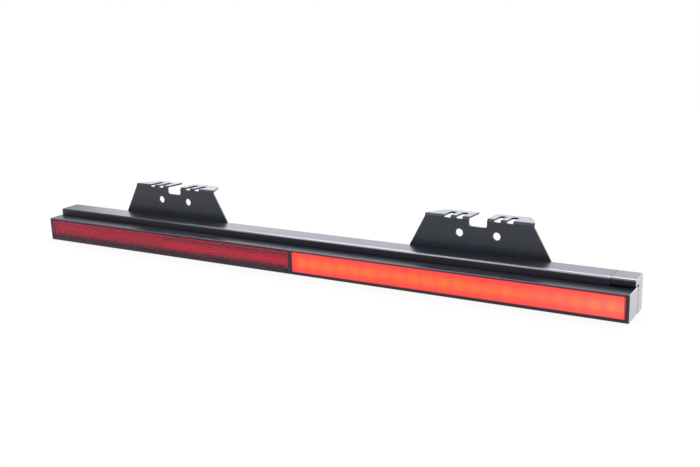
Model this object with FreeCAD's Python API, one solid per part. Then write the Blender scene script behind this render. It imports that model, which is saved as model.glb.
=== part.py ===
import FreeCAD, Part
import math
import os

from FreeCAD import Vector

# A lamp bar for the tail of a vehicle, in millimetres. X runs along the bar, Y from its front to its back.
# Z is up, and the origin is the middle of the flat underside.

# Whole bar
bar_length = 750.0
bar_depth = 47.9
bar_height = 36.7

# Lamp box in front of the rail
lamp_height = 28.5
lamp_depth = 31.4
lamp_edge_radius = 0.8
lamp_back_radius = 3.4
lamp_end_radius = 0.5
lamp_back_wall = 2.2
lamp_end_wall = 4.0
frame_end = 3.5
frame_top = 1.9
frame_bottom = 3.4
divider_middle = -1.7
divider_width = 4.6
window_radius = 2.0
smallest_window_radius = 0.3
ledge_width = 1.2
fit_clearance = 0.15

# Lens, seal and diffuser over the lit half
lens_proud = 0.6
lens_thickness = 2.8
lens_edge_radius = 0.9
lens_skirt_wall = 1.2
lens_skirt_depth = 2.2
seal_thickness = 0.6
seal_width = 0.9
diffuser_thickness = 1.0

# Circuit board and what is soldered on it
board_thickness = 1.6
board_height = 19.0
board_end_gap = 3.0
board_boss_height = 5.6
board_boss_radius = 3.5
led_pitch = 17.3
led_length = 3.5
led_width = 2.8
led_height = 1.9
led_window_radius = 1.2
led_window_depth = 0.3
resistor_length = 3.2
resistor_width = 1.6
resistor_height = 0.6
boss_gap = 0.9
regulator_length = 6.5
regulator_width = 3.5
regulator_height = 1.7
regulator_tab_length = 1.4
regulator_tab_width = 1.8
regulator_tab_thickness = 0.5
diode_length = 4.4
diode_width = 2.6
diode_height = 2.1
diode_cap_length = 0.9
terminal_radius = 0.6
terminal_pitch = 3.0
terminal_length = 2.6
component_gap = 11.0

# White tray round the diodes
tray_gap = 0.3
tray_wall = 1.2
tray_pocket_back = 6.4

# Screws that hold the board
board_screw_radius = 1.4
board_screw_length = 4.2
board_screw_head_radius = 2.6
board_screw_head_height = 1.8
leds_between_board_screws = 6

# Form of every screw, as shares of its head or shank
screw_crown_share = 0.7
screw_rim_share = 0.55
screw_tip_share = 0.5

# Reflector over the other half
reflector_proud = 0.3
reflector_thickness = 2.6
reflector_depth = 6.0
reflector_rim = 1.6
reflector_edge_radius = 0.6
backing_thickness = 1.6
reflector_tape_thickness = 0.8
pocket_floor = 2.2

# Moulded pockets behind the reflector
core_wall = 2.4
rib_thickness = 2.2
rib_pitch = 45.0
core_radius = 1.5

# Rail behind the lamp
step_depth = 20.8
rail_wall = 2.2
lip_chamber_height = 3.6
lip_clearance = 0.2
rail_front_radius = 1.4
rail_edge_radius = 0.8
rail_foot_radius = 2.0
chamber_radius = 0.8
carrier_tape_thickness = 0.8
carrier_tape_margin = 4.0
end_cap_length = 24.5
end_cap_seam = 0.5
end_cap_lift = 1.7
end_plate_inset = 1.7
end_plate_thickness = 1.8
end_plate_seam = 0.15
tongue_length = 12.0
tongue_wall = 1.5
tongue_radius = 0.4

# Screws from the rail into the lamp
lamp_screw_radius = 2.0
lamp_screw_depth = 4.5
lamp_screw_head_radius = 3.8
lamp_screw_head_height = 2.6
lamp_screw_boss_radius = 4.5
lamp_screw_middle = 70.0
lamp_screw_inset = 65.0
driver_hole_radius = 5.0

# Where the lead goes in and out, with a short run along the rail between the two
inlet_offset = 22.0
outlet_x = 0.0
bush_radius = 4.0
bush_rim_radius = 5.5
bush_rim_thickness = 1.2
bush_bore_radius = 2.6
grommet_radius = 6.0
grommet_rim_radius = 8.0
grommet_rim_thickness = 1.6
grommet_rim_bevel = 1.0
grommet_bore_radius = 3.2

# Folded brackets
bracket_middle = 203.5
bracket_base_width = 159.5
bracket_top_width = 122.0
bracket_top = 74.2
bracket_bottom = 6.0
bracket_shoulder = 3.4
bracket_foot_radius = 6.0
sheet_thickness = 2.0
bend_radius = 1.5
flange_depth = 29.0
flange_droop = 3.0
flange_end_taper = 12.0
flange_corner_radius = 10.0
bolt_hole_radius = 4.2
bolt_spacing = 42.0
bolt_height = 56.4
notch_width = 20.4
notch_depth = 9.8
notch_radius = 2.8
slot_width = 7.3
slot_depth = 20.0
slot_drop = 2.8
slot_radius = 1.4
slot_offsets = (-35.0, -21.3, 21.3, 35.0)
rivet_radius = 2.4
rivet_head_radius = 4.8
rivet_head_height = 1.6
rivet_head_crown_radius = 2.4
rivet_head_shoulder_radius = 4.3
rivet_pit_radius = 1.3
rivet_pit_depth = 0.9
rivet_tail_radius = 3.6
rivet_tail_length = 5.0
rivet_tail_taper = 2.0
rivet_height = 18.0
rivet_offsets = (-60.0, -20.0, 20.0, 60.0)
shank_clearance = 0.1

# Levels from the front of the bar to its back
half_length = bar_length / 2
front_y = -bar_depth / 2
back_y = bar_depth / 2
step_y = front_y + step_depth
lamp_back_y = front_y + lamp_depth
lens_front_y = front_y - lens_proud
lens_back_y = lens_front_y + lens_thickness
ledge_y = lens_back_y + seal_thickness
skirt_back_y = ledge_y + lens_skirt_depth
tray_front_y = skirt_back_y + diffuser_thickness
cavity_back_y = lamp_back_y - lamp_back_wall
board_back_y = cavity_back_y - board_boss_height
board_front_y = board_back_y - board_thickness
reflector_front_y = front_y - reflector_proud
reflector_back_y = reflector_front_y + reflector_depth
backing_back_y = reflector_back_y + backing_thickness
pocket_y = backing_back_y + reflector_tape_thickness
core_front_y = pocket_y + pocket_floor
rail_front_y = lamp_back_y + carrier_tape_thickness
chamber_front_y = rail_front_y + rail_wall
chamber_back_y = back_y - rail_wall

# Levels from the ground up
window_low = frame_bottom
window_high = lamp_height - frame_top
window_middle = (window_low + window_high) / 2
lamp_middle = lamp_height / 2
lip_low = lamp_height + lip_clearance
lip_middle = (lip_low + bar_height) / 2
highest_boss_edge = max(window_middle + board_boss_radius, lamp_middle + lamp_screw_boss_radius)
lowest_boss_edge = min(window_middle - board_boss_radius, lamp_middle - lamp_screw_boss_radius)

# Places along the bar
reflector_left = -half_length + frame_end
reflector_right = divider_middle - divider_width / 2
lens_left = divider_middle + divider_width / 2
lens_right = half_length - frame_end
lens_middle = (lens_left + lens_right) / 2
rail_right = half_length - end_cap_length
plate_left = -half_length + end_plate_inset
rail_left = plate_left + end_plate_thickness + end_plate_seam
inlet_x = lens_left + inlet_offset
lamp_screw_end = half_length - lamp_screw_inset
lamp_screw_places = (-lamp_screw_end, -lamp_screw_middle, lamp_screw_middle, lamp_screw_end)
led_count = int((lens_right - lens_left - 2 * ledge_width - 2 * tray_wall) / led_pitch)
led_places = [lens_middle + (index - (led_count - 1) / 2) * led_pitch for index in range(led_count)]
board_screw_places = [place + led_pitch / 2 for place in led_places[1:-1:leds_between_board_screws]]

beyond = 1.0


def on_plane(axis, level):
    """Function that lifts flat coordinates onto the plane square to the axis at the level."""
    if axis == "x":
        return lambda u, v: Vector(level, u, v)
    if axis == "y":
        return lambda u, v: Vector(u, level, v)
    return lambda u, v: Vector(u, v, level)


def rounded_face(corners, lift):
    """Flat face with a corner at each (u, v, radius)."""
    arcs = []
    starts = []
    ends = []
    for index, (u, v, radius) in enumerate(corners):
        here = Vector(u, v, 0)
        before = Vector(corners[index - 1][0], corners[index - 1][1], 0)
        following = corners[(index + 1) % len(corners)]
        after = Vector(following[0], following[1], 0)
        back = (before - here).normalize()
        onward = (after - here).normalize()
        half_angle = back.getAngle(onward) / 2
        reach = radius / math.tan(half_angle)
        start = here + back * reach
        end = here + onward * reach
        starts.append(lift(start.x, start.y))
        ends.append(lift(end.x, end.y))
        if radius > 0:
            towards = (back + onward).normalize()
            crest = here + towards * (radius / math.sin(half_angle) - radius)
            arcs.append(Part.Arc(starts[-1], lift(crest.x, crest.y), ends[-1]).toShape())
        else:
            arcs.append(None)
    edges = []
    for index, arc in enumerate(arcs):
        if arc is not None:
            edges.append(arc)
        next_start = starts[(index + 1) % len(starts)]
        if ends[index].distanceToPoint(next_start) > 1e-6:
            edges.append(Part.LineSegment(ends[index], next_start).toShape())
    return Part.Face(Part.Wire(edges))


def prism(axis, low, high, corners):
    """Solid with the rounded outline as its section, from low to high along the axis."""
    along = {"x": Vector(1, 0, 0), "y": Vector(0, 1, 0), "z": Vector(0, 0, 1)}[axis]
    return rounded_face(corners, on_plane(axis, low)).extrude(along * (high - low))


def rectangle(u_low, u_high, v_low, v_high, radius=0.0):
    """Four corners of a rectangle, all with one radius."""
    places = [(u_low, v_low), (u_high, v_low), (u_high, v_high), (u_low, v_high)]
    return [(u, v, radius) for u, v in places]


def block(x_low, x_high, y_low, y_high, z_low, z_high):
    """Solid box between two corners."""
    return Part.makeBox(x_high - x_low, y_high - y_low, z_high - z_low, Vector(x_low, y_low, z_low))


def rod(x, z, y_low, y_high, radius):
    """Round bar along Y."""
    return Part.makeCylinder(radius, y_high - y_low, Vector(x, y_low, z), Vector(0, 1, 0))


def turned(x, z, profile):
    """Solid turned about the Y line through (x, z), from a closed outline of (radius, y) points."""
    points = [Vector(x + radius, y, z) for radius, y in profile]
    face = Part.Face(Part.makePolygon(points + points[:1]))
    return face.revolve(Vector(x, 0, z), Vector(0, 1, 0), 360)


def fused(shapes):
    """One solid from touching shapes, without the seams between them."""
    first, *others = shapes
    return first.fuse(others).removeSplitter()


def edges_at(shape, axis, level):
    """Edges of the shape that lie wholly in the plane square to the axis at the level."""
    found = []
    for edge in shape.Edges:
        ends = [getattr(edge.BoundBox, axis + end) for end in ("Min", "Max")]
        if max(abs(end - level) for end in ends) < 1e-4:
            found.append(edge)
    return found


def window(left, right, inset):
    """Outline of a window in the frame, drawn in by the inset."""
    radius = max(window_radius - inset, smallest_window_radius)
    return rectangle(left + inset, right - inset, window_low + inset, window_high - inset, radius)


def make_lamp_housing():
    """Moulded box: lit cavity at the right, reflector pocket at the left, ribs and bosses."""
    outline = [
        (front_y, 0, lamp_edge_radius),
        (lamp_back_y, 0, lamp_edge_radius),
        (lamp_back_y, lamp_height, lamp_back_radius),
        (front_y, lamp_height, lamp_edge_radius),
    ]
    body = prism("x", -half_length, half_length, outline)
    end_edges = edges_at(body, "X", -half_length) + edges_at(body, "X", half_length)
    body = body.makeFillet(lamp_end_radius, end_edges)
    rebate = prism("y", front_y - beyond, ledge_y, window(lens_left, lens_right, 0))
    cavity = prism("y", ledge_y, cavity_back_y, window(lens_left, lens_right, ledge_width))
    pocket = prism("y", front_y - beyond, pocket_y, window(reflector_left, reflector_right, 0))
    body = body.cut([rebate, cavity, pocket] + make_cores())
    bosses = []
    for x in board_screw_places:
        bosses.append(rod(x, window_middle, board_back_y, cavity_back_y, board_boss_radius))
    for x in lamp_screw_places:
        boss_front = board_back_y if x > 0 else core_front_y
        bosses.append(rod(x, lamp_middle, boss_front, lamp_back_y, lamp_screw_boss_radius))
    body = fused([body] + bosses)
    hole_radius = board_screw_radius + shank_clearance
    hole_back = board_front_y + board_screw_length + shank_clearance
    holes = [rod(x, window_middle, board_back_y, hole_back, hole_radius) for x in board_screw_places]
    hole_front = lamp_back_y - lamp_screw_depth - shank_clearance
    for x in lamp_screw_places:
        holes.append(rod(x, lamp_middle, hole_front, lamp_back_y, lamp_screw_radius + shank_clearance))
    holes.append(rod(inlet_x, lamp_middle, cavity_back_y, lamp_back_y, bush_radius + shank_clearance))
    return body.cut(holes)


def make_cores():
    """Pockets moulded into the back behind the reflector, with upright ribs between them."""
    left = -half_length + lamp_end_wall
    right = reflector_right
    count = max(1, round((right - left + rib_thickness) / rib_pitch))
    pitch = (right - left + rib_thickness) / count
    cores = []
    for index in range(count):
        start = left + index * pitch
        outline = rectangle(
            start, start + pitch - rib_thickness, core_wall, lamp_height - core_wall, core_radius
        )
        cores.append(prism("y", core_front_y, lamp_back_y, outline))
    return cores


def make_lamp_lens():
    """Lens with a rounded front edge and a skirt that plugs into the housing."""
    plate = prism("y", lens_front_y, lens_back_y, window(lens_left, lens_right, fit_clearance))
    plate = plate.makeFillet(lens_edge_radius, edges_at(plate, "Y", lens_front_y))
    skirt_inset = ledge_width + fit_clearance
    hollow_inset = skirt_inset + lens_skirt_wall
    skirt = prism("y", lens_back_y, skirt_back_y, window(lens_left, lens_right, skirt_inset))
    hollow = prism("y", lens_back_y, skirt_back_y, window(lens_left, lens_right, hollow_inset))
    return fused([plate, skirt.cut(hollow)])


def make_lens_seal():
    """Bead of sealant under the rim of the lens."""
    outer_inset = ledge_width - seal_width
    outer = prism("y", lens_back_y, ledge_y, window(lens_left, lens_right, outer_inset))
    return outer.cut(prism("y", lens_back_y, ledge_y, window(lens_left, lens_right, ledge_width)))


def make_diffuser_sheet():
    """Opal sheet held between the lens skirt and the tray."""
    inset = ledge_width + tray_gap
    return prism("y", skirt_back_y, tray_front_y, window(lens_left, lens_right, inset))


def make_light_tray():
    """White tray: a thin-walled funnel round each diode that widens towards the lens, behind one rim."""
    inset = ledge_width + tray_gap
    half_front = led_pitch / 2
    half_back = tray_pocket_back / 2
    rise = (window_high - window_low) / 2 - inset
    rim = prism("y", tray_front_y, tray_front_y + tray_wall, window(lens_left, lens_right, inset))
    shells = [make_funnel(x, half_front, rise, half_back + tray_wall) for x in led_places]
    pockets = [make_funnel(x, half_front - tray_wall / 2, rise - tray_wall, half_back) for x in led_places]
    return fused([rim] + shells).cut(pockets)


def make_funnel(x, half_front, rise, half_back):
    """Solid funnel from half_front by rise at the tray's front to a square at the board."""
    sections = ((tray_front_y, half_front, rise), (board_front_y, half_back, half_back))
    wires = []
    for y, half_width, half_height in sections:
        low = window_middle - half_height
        high = window_middle + half_height
        corners = rectangle(x - half_width, x + half_width, low, high)
        wires.append(rounded_face(corners, on_plane("y", y)).OuterWire)
    return Part.makeLoft(wires, True)


def make_circuit_board():
    """Board with a hole for each of its screws."""
    board = block(
        lens_left + ledge_width + board_end_gap,
        lens_right - ledge_width - board_end_gap,
        board_front_y,
        board_back_y,
        window_middle - board_height / 2,
        window_middle + board_height / 2,
    )
    radius = board_screw_radius + shank_clearance
    holes = [rod(x, window_middle, board_front_y, board_back_y, radius) for x in board_screw_places]
    return board.cut(holes)


def make_leds():
    """Row of square diodes, each with a round window in its face."""
    diodes = []
    for x in led_places:
        body = block(
            x - led_length / 2,
            x + led_length / 2,
            board_front_y - led_height,
            board_front_y,
            window_middle - led_width / 2,
            window_middle + led_width / 2,
        )
        face_y = board_front_y - led_height
        diodes.append(body.cut(rod(x, window_middle, face_y, face_y + led_window_depth, led_window_radius)))
    return Part.makeCompound(diodes)


def make_resistors():
    """Chip resistors on the back of the board, one for each pair of diodes, below the bosses."""
    high = lowest_boss_edge - boss_gap
    chips = []
    for x in led_places[::2]:
        chips.append(
            block(
                x - resistor_length / 2,
                x + resistor_length / 2,
                board_back_y,
                board_back_y + resistor_height,
                high - resistor_width,
                high,
            )
        )
    return Part.makeCompound(chips)


def make_regulators():
    """Two current regulators with soldered tabs, on the back of the board above the bosses."""
    chips = []
    low = highest_boss_edge + boss_gap
    middle = low + regulator_width / 2
    reach = regulator_length / 2 + regulator_tab_length
    for step in (1, 2):
        x = inlet_x + step * component_gap
        body = block(
            x - regulator_length / 2,
            x + regulator_length / 2,
            board_back_y,
            board_back_y + regulator_height,
            low,
            low + regulator_width,
        )
        tab = block(
            x - reach,
            x + reach,
            board_back_y,
            board_back_y + regulator_tab_thickness,
            middle - regulator_tab_width / 2,
            middle + regulator_tab_width / 2,
        )
        chips.append(fused([body, tab]))
    return Part.makeCompound(chips)


def make_protection_diode():
    """Diode with folded end contacts, on the back of the board."""
    x = inlet_x - component_gap
    body = block(
        x - diode_length / 2,
        x + diode_length / 2,
        board_back_y,
        board_back_y + diode_height,
        window_middle - diode_width / 2,
        window_middle + diode_width / 2,
    )
    contacts = block(
        x - diode_length / 2 - diode_cap_length,
        x + diode_length / 2 + diode_cap_length,
        board_back_y,
        board_back_y + diode_height / 2,
        window_middle - diode_width / 4,
        window_middle + diode_width / 4,
    )
    return fused([body, contacts])


def make_wire_terminals():
    """Two pins for the cores of the lead."""
    pins = []
    for side in (-1, 1):
        x = inlet_x + side * terminal_pitch / 2
        pins.append(rod(x, lamp_middle, board_back_y, board_back_y + terminal_length, terminal_radius))
    return Part.makeCompound(pins)


def make_screw(x, z, seat_y, direction, radius, length, head_radius, head_height):
    """Pan-head screw seated at seat_y, with its shank along the direction, 1 or -1 on Y."""
    crown = seat_y - direction * head_height
    rim = seat_y - direction * head_height * screw_rim_share
    tip = seat_y + direction * length
    taper = seat_y + direction * (length - radius)
    profile = [
        (0, crown),
        (head_radius * screw_crown_share, crown),
        (head_radius, rim),
        (head_radius, seat_y),
        (radius, seat_y),
        (radius, taper),
        (radius * screw_tip_share, tip),
        (0, tip),
    ]
    return turned(x, z, profile)


def make_board_screws():
    """Screws through the board into the housing's bosses."""
    return Part.makeCompound(
        [
            make_screw(
                x,
                window_middle,
                board_front_y,
                1,
                board_screw_radius,
                board_screw_length,
                board_screw_head_radius,
                board_screw_head_height,
            )
            for x in board_screw_places
        ]
    )


def make_reflex_reflector():
    """Reflector moulding: a clear face with a rim behind it, hollow behind the prisms."""
    outer = prism(
        "y", reflector_front_y, reflector_back_y, window(reflector_left, reflector_right, fit_clearance)
    )
    outer = outer.makeFillet(reflector_edge_radius, edges_at(outer, "Y", reflector_front_y))
    hollow_front = reflector_front_y + reflector_thickness
    inset = fit_clearance + reflector_rim
    hollow = prism("y", hollow_front, reflector_back_y, window(reflector_left, reflector_right, inset))
    return outer.cut(hollow)


def make_reflector_backing():
    """Plate welded to the reflector's rim."""
    outline = window(reflector_left, reflector_right, fit_clearance)
    return prism("y", reflector_back_y, backing_back_y, outline)


def make_reflector_tape():
    """Tape between the backing plate and the floor of the pocket."""
    outline = window(reflector_left, reflector_right, fit_clearance + reflector_rim)
    return prism("y", backing_back_y, pocket_y, outline)


def rail_outline(lip_level):
    """L-shaped section of the rail, with the underside of its lip at the level."""
    return [
        (step_y, lip_level, 0),
        (rail_front_y, lip_level, 0),
        (rail_front_y, 0, rail_edge_radius),
        (back_y, 0, rail_foot_radius),
        (back_y, bar_height, rail_edge_radius),
        (step_y, bar_height, rail_front_radius),
    ]


def chamber_outlines(inset, radius):
    """Sections of the rail's two chambers, the upright one and the one in the lip, drawn in by the inset."""
    low = rail_wall + inset
    high = bar_height - rail_wall - inset
    upright = rectangle(chamber_front_y + inset, chamber_back_y - inset, low, high, radius)
    lip_half = lip_chamber_height / 2 - inset
    lip_low_side = lip_middle - lip_half
    lip_high_side = lip_middle + lip_half
    lip_front = step_y + rail_wall + inset
    lip = rectangle(lip_front, rail_front_y - inset, lip_low_side, lip_high_side, radius)
    return [upright, lip]


def make_carrier_profile():
    """Hollow rail with the holes for rivets, lamp screws, bush and grommet."""
    rail = prism("x", rail_left, rail_right, rail_outline(lip_low))
    outlines = chamber_outlines(0, chamber_radius)
    chambers = [prism("x", rail_left, rail_right, outline) for outline in outlines]
    holes = []
    for x in lamp_screw_places:
        holes.append(rod(x, lamp_middle, rail_front_y, chamber_front_y, lamp_screw_radius + shank_clearance))
        holes.append(rod(x, lamp_middle, chamber_back_y, back_y, driver_hole_radius))
    for side in (-1, 1):
        for offset in rivet_offsets:
            x = side * bracket_middle + offset
            holes.append(rod(x, rivet_height, chamber_back_y, back_y, rivet_radius + shank_clearance))
    holes.append(rod(inlet_x, lamp_middle, rail_front_y, chamber_front_y, bush_radius + shank_clearance))
    holes.append(rod(outlet_x, lamp_middle, chamber_back_y, back_y, grommet_radius + shank_clearance))
    return rail.cut(chambers + holes)


def make_rail_end(lip_level, body_span, tongue_span, hollow_span):
    """End moulding with two tongues that plug into the rail's chambers, hollow behind the upright one."""
    pieces = [prism("x", *body_span, rail_outline(lip_level))]
    for outline in chamber_outlines(fit_clearance, tongue_radius):
        pieces.append(prism("x", *tongue_span, outline))
    hollow = chamber_outlines(fit_clearance + tongue_wall, tongue_radius)[0]
    return fused(pieces).cut(prism("x", *hollow_span, hollow))


def make_end_cap_right():
    """Cap at the right end, with its lip lifted clear of the lamp."""
    cap_left = rail_right + end_cap_seam
    tongue_left = rail_right - tongue_length
    body_span = (cap_left, half_length)
    tongue_span = (tongue_left, cap_left + tongue_wall)
    hollow_span = (tongue_left, half_length - rail_wall)
    return make_rail_end(lamp_height + end_cap_lift, body_span, tongue_span, hollow_span)


def make_end_plate_left():
    """Thin plate at the left end, with tongues in the rail."""
    plate_right = plate_left + end_plate_thickness
    tongue_right = rail_left + tongue_length
    body_span = (plate_left, plate_right)
    tongue_span = (plate_left, tongue_right)
    hollow_span = (plate_right, tongue_right)
    return make_rail_end(lip_low, body_span, tongue_span, hollow_span)


def make_carrier_tape():
    """Foam tape between the lamp and the rail, with holes for the screws and the bush."""
    outline = rectangle(
        rail_left + carrier_tape_margin,
        rail_right - carrier_tape_margin,
        carrier_tape_margin,
        lamp_height - carrier_tape_margin,
        window_radius,
    )
    tape = prism("y", lamp_back_y, rail_front_y, outline)
    holes = []
    for x in lamp_screw_places:
        holes.append(rod(x, lamp_middle, lamp_back_y, rail_front_y, lamp_screw_boss_radius))
    holes.append(rod(inlet_x, lamp_middle, lamp_back_y, rail_front_y, bush_radius + shank_clearance))
    return tape.cut(holes)


def make_lamp_screws():
    """Screws from inside the rail into the lamp's bosses."""
    length = chamber_front_y - lamp_back_y + lamp_screw_depth
    return Part.makeCompound(
        [
            make_screw(
                x,
                lamp_middle,
                chamber_front_y,
                -1,
                lamp_screw_radius,
                length,
                lamp_screw_head_radius,
                lamp_screw_head_height,
            )
            for x in lamp_screw_places
        ]
    )


def make_inlet_bush():
    """Rubber bush through the lamp's back wall and the front wall of the rail."""
    profile = [
        (bush_bore_radius, cavity_back_y - bush_rim_thickness),
        (bush_rim_radius, cavity_back_y - bush_rim_thickness),
        (bush_rim_radius, cavity_back_y),
        (bush_radius, cavity_back_y),
        (bush_radius, chamber_front_y),
        (bush_rim_radius, chamber_front_y),
        (bush_rim_radius, chamber_front_y + bush_rim_thickness),
        (bush_bore_radius, chamber_front_y + bush_rim_thickness),
    ]
    return turned(inlet_x, lamp_middle, profile)


def make_cable_grommet():
    """Rubber grommet in the back wall of the rail."""
    profile = [
        (grommet_bore_radius, chamber_back_y - grommet_rim_thickness),
        (grommet_rim_radius - grommet_rim_bevel, chamber_back_y - grommet_rim_thickness),
        (grommet_rim_radius, chamber_back_y),
        (grommet_radius, chamber_back_y),
        (grommet_radius, back_y),
        (grommet_rim_radius, back_y),
        (grommet_rim_radius - grommet_rim_bevel, back_y + grommet_rim_thickness),
        (grommet_bore_radius, back_y + grommet_rim_thickness),
    ]
    return turned(outlet_x, lamp_middle, profile)


def folded_section():
    """Section of the folded sheet on the YZ plane: upright leg, bend and drooping flange."""
    droop = math.radians(flange_droop)
    outer = bend_radius + sheet_thickness
    centre_y = back_y + outer
    centre_z = bracket_top - outer

    def on_arc(radius, angle):
        return Vector(0, centre_y + radius * math.cos(angle), centre_z + radius * math.sin(angle))

    arc_end = math.pi / 2 - droop
    arc_middle = (math.pi + arc_end) / 2
    along = Vector(0, math.cos(droop), -math.sin(droop))
    across = Vector(0, math.sin(droop), math.cos(droop))
    outer_end = on_arc(outer, arc_end)
    length = (back_y + flange_depth - outer_end.y) / math.cos(droop)
    tip_top = outer_end + along * length
    tip_under = tip_top - across * sheet_thickness
    foot_front = Vector(0, back_y, bracket_bottom)
    foot_back = Vector(0, back_y + sheet_thickness, bracket_bottom)
    edges = [
        Part.LineSegment(foot_front, on_arc(outer, math.pi)),
        Part.Arc(on_arc(outer, math.pi), on_arc(outer, arc_middle), outer_end),
        Part.LineSegment(outer_end, tip_top),
        Part.LineSegment(tip_top, tip_under),
        Part.LineSegment(tip_under, on_arc(bend_radius, arc_end)),
        Part.Arc(on_arc(bend_radius, arc_end), on_arc(bend_radius, arc_middle), on_arc(bend_radius, math.pi)),
        Part.LineSegment(on_arc(bend_radius, math.pi), foot_back),
        Part.LineSegment(foot_back, foot_front),
    ]
    return Part.Face(Part.Wire([edge.toShape() for edge in edges]))


def make_bracket(middle):
    """Folded sheet bracket centred on X = middle."""
    half_base = bracket_base_width / 2
    half_top = bracket_top_width / 2
    sheet = folded_section()
    sheet.translate(Vector(middle - half_base, 0, 0))
    sheet = sheet.extrude(Vector(bracket_base_width, 0, 0))
    far_y = back_y + flange_depth + beyond
    shoulder = bracket_top - bracket_shoulder
    front_outline = [
        (middle - half_base, bracket_bottom, bracket_foot_radius),
        (middle + half_base, bracket_bottom, bracket_foot_radius),
        (middle + half_base, bar_height, 0),
        (middle + half_top, shoulder, 0),
        (middle + half_top, bracket_top + beyond, 0),
        (middle - half_top, bracket_top + beyond, 0),
        (middle - half_top, shoulder, 0),
        (middle - half_base, bar_height, 0),
    ]
    sheet = sheet.common(prism("y", back_y - beyond, far_y, front_outline))
    return sheet.cut(bracket_cuts(middle)).removeSplitter()


def bracket_cuts(middle):
    """What is cut from the folded sheet: corners, notch, slots, bolt holes and rivet holes."""
    half_top = bracket_top_width / 2
    bend_end = back_y + bend_radius + sheet_thickness
    far_y = back_y + flange_depth + beyond
    flange_low = bracket_top - notch_depth
    top_outline = [
        (middle - half_top, bend_end, 0),
        (middle + half_top, bend_end, 0),
        (middle + half_top - flange_end_taper, back_y + flange_depth, flange_corner_radius),
        (middle - half_top + flange_end_taper, back_y + flange_depth, flange_corner_radius),
    ]
    blank = block(
        middle - half_top - beyond,
        middle + half_top + beyond,
        bend_end,
        far_y,
        flange_low,
        bracket_top + beyond,
    )
    cuts = [blank.cut(prism("z", flange_low, bracket_top + beyond, top_outline))]
    notch = [
        (middle - notch_width / 2, bracket_top - notch_depth, notch_radius),
        (middle + notch_width / 2, bracket_top - notch_depth, notch_radius),
        (middle + notch_width / 2, bracket_top + beyond, 0),
        (middle - notch_width / 2, bracket_top + beyond, 0),
    ]
    cuts.append(prism("y", back_y - beyond, far_y, notch))
    sheet_back = back_y + sheet_thickness
    slot_floor = bracket_top - slot_drop
    for offset in slot_offsets:
        left = middle + offset - slot_width / 2
        right = left + slot_width
        cuts.append(block(left, right, back_y - beyond, sheet_back, slot_floor, bracket_top + beyond))
        slot = [
            (left, sheet_back, 0),
            (right, sheet_back, 0),
            (right, back_y + slot_depth, slot_radius),
            (left, back_y + slot_depth, slot_radius),
        ]
        cuts.append(prism("z", flange_low, bracket_top + beyond, slot))
    through = back_y + sheet_thickness + beyond
    for side in (-1, 1):
        x = middle + side * bolt_spacing / 2
        cuts.append(rod(x, bolt_height, back_y - beyond, through, bolt_hole_radius))
    for offset in rivet_offsets:
        radius = rivet_radius + shank_clearance
        cuts.append(rod(middle + offset, rivet_height, back_y - beyond, through, radius))
    return cuts


def make_bracket_rivets(middle):
    """Blind rivets with a domed, pitted head behind the bracket and a set tail inside the rail."""
    seat = back_y + sheet_thickness
    pit_floor = seat + rivet_head_height - rivet_pit_depth
    rivets = []
    for offset in rivet_offsets:
        profile = [
            (0, pit_floor),
            (rivet_pit_radius, pit_floor),
            (rivet_pit_radius, seat + rivet_head_height),
            (rivet_head_crown_radius, seat + rivet_head_height),
            (rivet_head_shoulder_radius, seat + rivet_head_height / 2),
            (rivet_head_radius, seat),
            (rivet_radius, seat),
            (rivet_radius, chamber_back_y),
            (rivet_tail_radius, chamber_back_y),
            (rivet_tail_radius, chamber_back_y - rivet_tail_length + rivet_tail_taper),
            (rivet_radius, chamber_back_y - rivet_tail_length),
            (0, chamber_back_y - rivet_tail_length),
        ]
        rivets.append(turned(middle + offset, rivet_height, profile))
    return Part.makeCompound(rivets)


def make_all():
    """Every piece of the lamp bar by name."""
    return {
        "lamp_housing": make_lamp_housing(),
        "lamp_lens": make_lamp_lens(),
        "lens_seal": make_lens_seal(),
        "diffuser_sheet": make_diffuser_sheet(),
        "light_tray": make_light_tray(),
        "circuit_board": make_circuit_board(),
        "leds": make_leds(),
        "resistors": make_resistors(),
        "regulators": make_regulators(),
        "protection_diode": make_protection_diode(),
        "wire_terminals": make_wire_terminals(),
        "board_screws": make_board_screws(),
        "inlet_bush": make_inlet_bush(),
        "cable_grommet": make_cable_grommet(),
        "reflex_reflector": make_reflex_reflector(),
        "reflector_backing": make_reflector_backing(),
        "reflector_tape": make_reflector_tape(),
        "carrier_profile": make_carrier_profile(),
        "end_cap_right": make_end_cap_right(),
        "end_plate_left": make_end_plate_left(),
        "carrier_tape": make_carrier_tape(),
        "lamp_screws": make_lamp_screws(),
        "bracket_left": make_bracket(-bracket_middle),
        "bracket_right": make_bracket(bracket_middle),
        "bracket_rivets_left": make_bracket_rivets(-bracket_middle),
        "bracket_rivets_right": make_bracket_rivets(bracket_middle),
    }


os.makedirs("parts", exist_ok=True)
for name, shape in make_all().items():
    if not shape.isValid():
        raise RuntimeError("the solid of " + name + " is not valid")
    shape.exportStep("parts/" + name + ".step")
    print(name, len(shape.Solids), "solids", round(shape.Volume / 1000, 2), "cm3")
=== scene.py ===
"""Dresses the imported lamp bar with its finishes, its prism field, the light and the camera.

Lengths are in metres. X runs along the bar, Y from its front to its back, and Z is up.
"""

import logging
import math
from dataclasses import dataclass, field, replace
from enum import Enum
from typing import Any, NamedTuple, Union

import bmesh
import bpy
from mathutils import Matrix, Vector


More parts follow.
